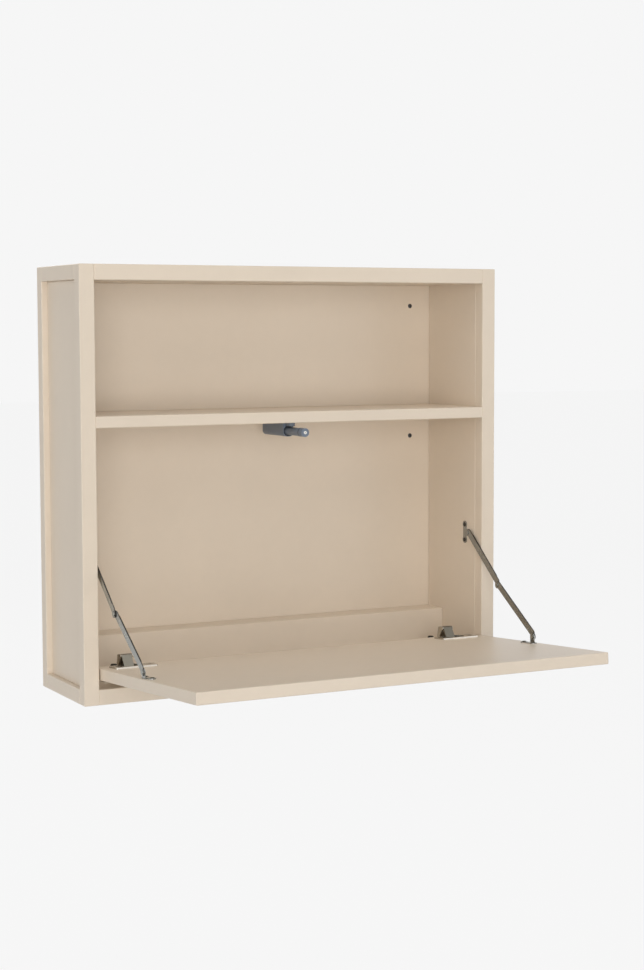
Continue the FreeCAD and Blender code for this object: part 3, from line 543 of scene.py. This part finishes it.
def cross_recesses(piece, heads):
    """Sink a cross recess with a cone at its centre into each head."""
    for spin in RECESS_TURNS:
        blades = []
        for centre, out in heads:
            bpy.ops.mesh.primitive_cube_add(size=1, location=centre,
                                            rotation=turn_to(out, spin),
                                            scale=(RECESS_LENGTH, RECESS_WIDTH,
                                                   2 * RECESS_DEPTH))
            blades.append(bpy.context.object)
        work(piece, merged(blades), "DIFFERENCE")
    cones = []
    for centre, out in heads:
        bpy.ops.mesh.primitive_cone_add(vertices=16, radius1=CONE_TIP, radius2=CONE_MOUTH,
                                        depth=CONE_HEIGHT, location=centre,
                                        rotation=turn_to(out))
        cones.append(bpy.context.object)
    work(piece, merged(cones), "DIFFERENCE")
    select_only(piece)
    bpy.ops.object.shade_smooth_by_angle(angle=math.radians(30))


def settle(piece, body, node, material):
    """Give a new piece its finish and its body, and let it stand for a CAD node."""
    piece.data.materials.clear()
    piece.data.materials.append(material)
    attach(piece, body)
    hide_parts(node)


# ---------------------------------------------------------------- settings

def colour_setting(name, description, default):
    """A colour that the user can change."""
    return bpy.props.FloatVectorProperty(name=name, description=description, default=default,
                                         subtype="COLOR", size=3, min=0.0, max=1.0)


def share_setting(name, description, default):
    """A value from 0 to 1 that the user can change."""
    return bpy.props.FloatProperty(name=name, description=description, default=default,
                                   subtype="FACTOR", min=0.0, max=1.0)


class DeskPaintSettings(bpy.types.PropertyGroup):
    """The finish of the boards"""
    colour: colour_setting("Paint", "Colour of the cabinet and the flap", (0.730, 0.628, 0.508))
    roughness: share_setting("Roughness", "Gloss of the lacquer, lower is glossier", 0.36)


class DeskMetalSettings(bpy.types.PropertyGroup):
    """The finish of the hinges, stays and screws"""
    plate: colour_setting("Plating", "Colour of the hinges", (0.46, 0.43, 0.37))
    link: colour_setting("Link plating", "Colour of the hinge links", (0.19, 0.176, 0.145))
    stay: colour_setting("Stay plating", "Colour of the folding stays", (0.305, 0.308, 0.290))
    screw: colour_setting("Screws", "Colour of the screws", (0.052, 0.046, 0.038))
    roughness: share_setting("Plating roughness", "Gloss of the plating", 0.2)


class DeskLatchSettings(bpy.types.PropertyGroup):
    """The finish of the push latch"""
    plastic: colour_setting("Plastic", "Colour of the push latch", (0.138, 0.170, 0.218))
    tip: colour_setting("Tip", "Colour of the disc in the plunger", (0.86, 0.84, 0.80))


class DeskStageSettings(bpy.types.PropertyGroup):
    """The floor and the light"""
    floor_drop: bpy.props.FloatProperty(
        name="Floor below", description="How far the floor lies below the cabinet",
        default=0.75, subtype="DISTANCE", unit="LENGTH", min=0.0, max=3.0)
    background: share_setting("Background", "Brightness of the background", 0.922)
    fill: share_setting("Fill light", "Strength of the light from all round", 0.18)
    key: bpy.props.FloatProperty(
        name="Key light", description="Power of the large front lamp", default=79.0,
        subtype="POWER", unit="POWER", min=0.0, max=2000.0)


# ---------------------------------------------------------------- operators

class WALLDESK_OT_paint(bpy.types.Operator):
    """Paint the cabinet boards and the flap"""
    bl_idname = "walldesk.paint"
    bl_label = "Paint the boards"

    def execute(self, context):
        paint = context.scene.desk_paint
        cover(BOARDS, sprayed_paint("desk_paint", paint.colour, paint.roughness))
        # The back board's material has painted shade inside its wall holes
        cover(["back_board"], sprayed_paint("back_board_paint", paint.colour, paint.roughness,
                                            holes=WALL_HOLES))
        cover(["carcass_dowels"], bare_wood("dowel_beech", BARE_BEECH, 0.6))
        return {"FINISHED"}


class WALLDESK_OT_hinges(bpy.types.Operator):
    """Plate the cup hinges and make the screws that hold their arms"""
    bl_idname = "walldesk.hinges"
    bl_label = "Finish the hinges"

    def execute(self, context):
        metal = context.scene.desk_metal
        cover(HINGE_PLATES, plated_steel("hinge_nickel", metal.plate, metal.roughness))
        # The front edge of each cup's flange gets a painted highlight
        flange_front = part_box("left_hinge_cup")[0].y
        cover(HINGE_CUPS, plated_steel("hinge_nickel_painted_highlight", metal.plate,
                                       metal.roughness, bright_from=flange_front + 0.6 * MM))
        cover(HINGE_LINKS, plated_steel("hinge_link_nickel", metal.link, metal.roughness + 0.1))
        self.arm_screws(dark_zinc("arm_screw_zinc", metal.screw))
        return {"FINISHED"}

    def arm_screws(self, material):
        """The screws on each arm: a low one in front and a tall domed one behind."""
        piece = twin_of("hinge_adjusters", "hinge_arm_screws")
        rear_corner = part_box("hinge_adjusters")[1]
        arm_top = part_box("left_hinge_plate")[1].z + ARM_THICKNESS
        for side in (-1, 1):
            centre = (side * (rear_corner.x - LOW_HEAD_RADIUS), rear_corner.y - LOW_HEAD_RADIUS,
                      arm_top + ARM_HEAD_HEIGHT / 2)
            weld_dome(piece, centre, (0, 0, 0), ARM_HEAD_RADIUS, ARM_HEAD_HEIGHT,
                      ARM_HEAD_EASING)
        cross_recesses(piece, screw_heads(piece, lambda place: UP))
        settle(piece, "cabinet", "hinge_adjusters", material)


class WALLDESK_OT_stays(bpy.types.Operator):
    """Plate the folding stays"""
    bl_idname = "walldesk.stays"
    bl_label = "Finish the stays"

    def execute(self, context):
        metal = context.scene.desk_metal
        cover(STAY_FITTINGS, plated_steel("stay_nickel", metal.stay, metal.roughness))
        # The arms' edges and folds get painted shade
        cover(STAY_ARMS, plated_steel("stay_arm_nickel", metal.stay, metal.roughness,
                                      black_edges=True))
        return {"FINISHED"}


class WALLDESK_OT_screws(bpy.types.Operator):
    """Make the countersunk screws with cross recesses"""
    bl_idname = "walldesk.screws"
    bl_label = "Make the screws"

    def execute(self, context):
        zinc = dark_zinc("screw_zinc", context.scene.desk_metal.screw)
        for node, body, facing in SCREW_SETS:
            piece = twin_of(node, "cross_" + node)
            heads = screw_heads(piece, facing)
            if "stay" in node:
                heads = [self.raised(piece, head) for head in heads]
            cross_recesses(piece, heads)
            settle(piece, body, node, zinc)
        return {"FINISHED"}

    def raised(self, piece, head):
        """Raise a head into a low dome, and return the dome's top."""
        centre, out = head
        weld_dome(piece, centre, turn_to(out), STAY_HEAD_RADIUS, 2 * STAY_HEAD_HEIGHT,
                  STAY_HEAD_EASING)
        return centre + out * STAY_HEAD_HEIGHT, out


class WALLDESK_OT_latch(bpy.types.Operator):
    """Finish the push latch"""
    bl_idname = "walldesk.latch"
    bl_label = "Finish the latch"

    def execute(self, context):
        latch = context.scene.desk_latch
        low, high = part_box("latch_plunger")
        axis = (low + high) / 2
        # The housing gets painted shade round the mouth that the plunger slides in
        rim = (high.x - low.x) / 2 + 1.2 * MM
        cover(["latch_housing"], moulded_plastic("latch_plastic", latch.plastic, 0.4,
                                                 mouth=(axis, rim)))
        # The plunger gets painted shade at its groove
        cover(["latch_plunger"], moulded_plastic("plunger_plastic", latch.plastic, 0.36,
                                                 groove=low.y + 12 * MM))
        low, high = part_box("latch_disc")
        cover(["latch_disc"], latch_tip("latch_tip_pale", latch.tip, (low + high) / 2))
        return {"FINISHED"}


class WALLDESK_OT_stage(bpy.types.Operator):
    """Set up the floor, the light and the camera"""
    bl_idname = "walldesk.stage"
    bl_label = "Stage the desk"

    def execute(self, context):
        stage = context.scene.desk_stage
        self.floor(context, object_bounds()[0][2] - stage.floor_drop, stage.background)
        self.air(context, stage.fill, stage.background)
        for name, place, size, share in LAMPS:
            self.lamp(context, name, Vector(place), size, stage.key * share)
        self.camera(context)
        context.scene.view_settings.view_transform = "Standard"
        return {"FINISHED"}

    def floor(self, context, height, level):
        """A wide pale floor."""
        bpy.ops.object.select_all(action="DESELECT")
        bpy.ops.mesh.primitive_plane_add(size=FLOOR_SIZE, location=(0, 0, height))
        floor = context.object
        floor.name = "studio_floor"
        glow = level * FLOOR_GLOW
        floor.data.materials.append(backdrop_white("floor_pale", (glow, glow, glow, 1.0)))
        bpy.ops.object.transform_apply(location=True)
        floor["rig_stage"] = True

    def air(self, context, fill, level):
        """Even light from all round, which is seen as a plain pale background."""
        world = bpy.data.worlds.new("studio_air")
        world.use_nodes = True
        context.scene.world = world
        air = Wiring(world.node_tree)
        light = air.tree.nodes["Background"]
        air.fill(light.inputs["Color"], AIR_COLOUR)
        air.fill(light.inputs["Strength"], fill)
        seen = air.add("ShaderNodeBackground", {}, {"Color": (level, level, level, 1.0)})
        surface = air.add("ShaderNodeMixShader", {},
                          [air.seen_rays(), Wire(air, light.outputs[0]), seen])
        air.fill(air.tree.nodes["World Output"].inputs["Surface"], surface)

    def lamp(self, context, name, place, size, power):
        """A square soft box that looks at the cabinet."""
        light = bpy.data.lights.new(name, "AREA")
        light.energy = power
        light.size = size
        box = bpy.data.objects.new(name, light)
        context.scene.collection.objects.link(box)
        box.location = place
        box.rotation_euler = turn_to(place - LAMP_TARGET)

    def camera(self, context):
        """A long lens, low and to the left of the desk."""
        ahead = Vector((math.sin(CAMERA_YAW) * math.cos(CAMERA_PITCH),
                        math.cos(CAMERA_YAW) * math.cos(CAMERA_PITCH), -math.sin(CAMERA_PITCH)))
        level = Vector((math.cos(CAMERA_YAW), -math.sin(CAMERA_YAW), 0))
        above = level.cross(ahead)
        right = level * math.cos(CAMERA_ROLL) + above * math.sin(CAMERA_ROLL)
        up = above * math.cos(CAMERA_ROLL) - level * math.sin(CAMERA_ROLL)
        lens = bpy.data.cameras.new("desk_camera")
        lens.sensor_width = SENSOR
        lens.lens = SENSOR * FOCAL_PIXELS / FRAME_HEIGHT
        lens.clip_end = 100.0
        camera = bpy.data.objects.new("desk_camera", lens)
        context.scene.collection.objects.link(camera)
        turn = Matrix((right, up, -ahead)).transposed().to_4x4()
        camera.matrix_world = Matrix.Translation(CAMERA_PLACE) @ turn
        context.scene.camera = camera


STEPS = (WALLDESK_OT_paint, WALLDESK_OT_hinges, WALLDESK_OT_stays, WALLDESK_OT_screws,
         WALLDESK_OT_latch, WALLDESK_OT_stage)
GROUPS = (("desk_paint", DeskPaintSettings), ("desk_metal", DeskMetalSettings),
          ("desk_latch", DeskLatchSettings), ("desk_stage", DeskStageSettings))


class WALLDESK_PT_panel(bpy.types.Panel):
    """Sizes, colours and steps of the wall desk"""
    bl_idname = "WALLDESK_PT_panel"
    bl_label = "Wall desk"
    bl_space_type = "VIEW_3D"
    bl_region_type = "UI"
    bl_category = "Wall desk"

    def draw(self, context):
        for name, group in GROUPS:
            for setting in group.__annotations__:
                self.layout.prop(getattr(context.scene, name), setting)
        for step in STEPS:
            self.layout.operator(step.bl_idname)


# ---------------------------------------------------------------- running it

def register():
    """Add the settings, the operators and the panel."""
    for name, group in GROUPS:
        bpy.utils.register_class(group)
        setattr(bpy.types.Scene, name, bpy.props.PointerProperty(type=group))
    for step in STEPS + (WALLDESK_PT_panel,):
        bpy.utils.register_class(step)


def unregister():
    """Take them away again."""
    for step in reversed(STEPS + (WALLDESK_PT_panel,)):
        bpy.utils.unregister_class(step)
    for name, group in reversed(GROUPS):
        delattr(bpy.types.Scene, name)
        bpy.utils.unregister_class(group)


def main():
    """Dress the desk."""
    register()
    bpy.ops.walldesk.paint()
    bpy.ops.walldesk.hinges()
    bpy.ops.walldesk.stays()
    bpy.ops.walldesk.screws()
    bpy.ops.walldesk.latch()
    bpy.ops.walldesk.stage()


if __name__ == "__main__":
    main()
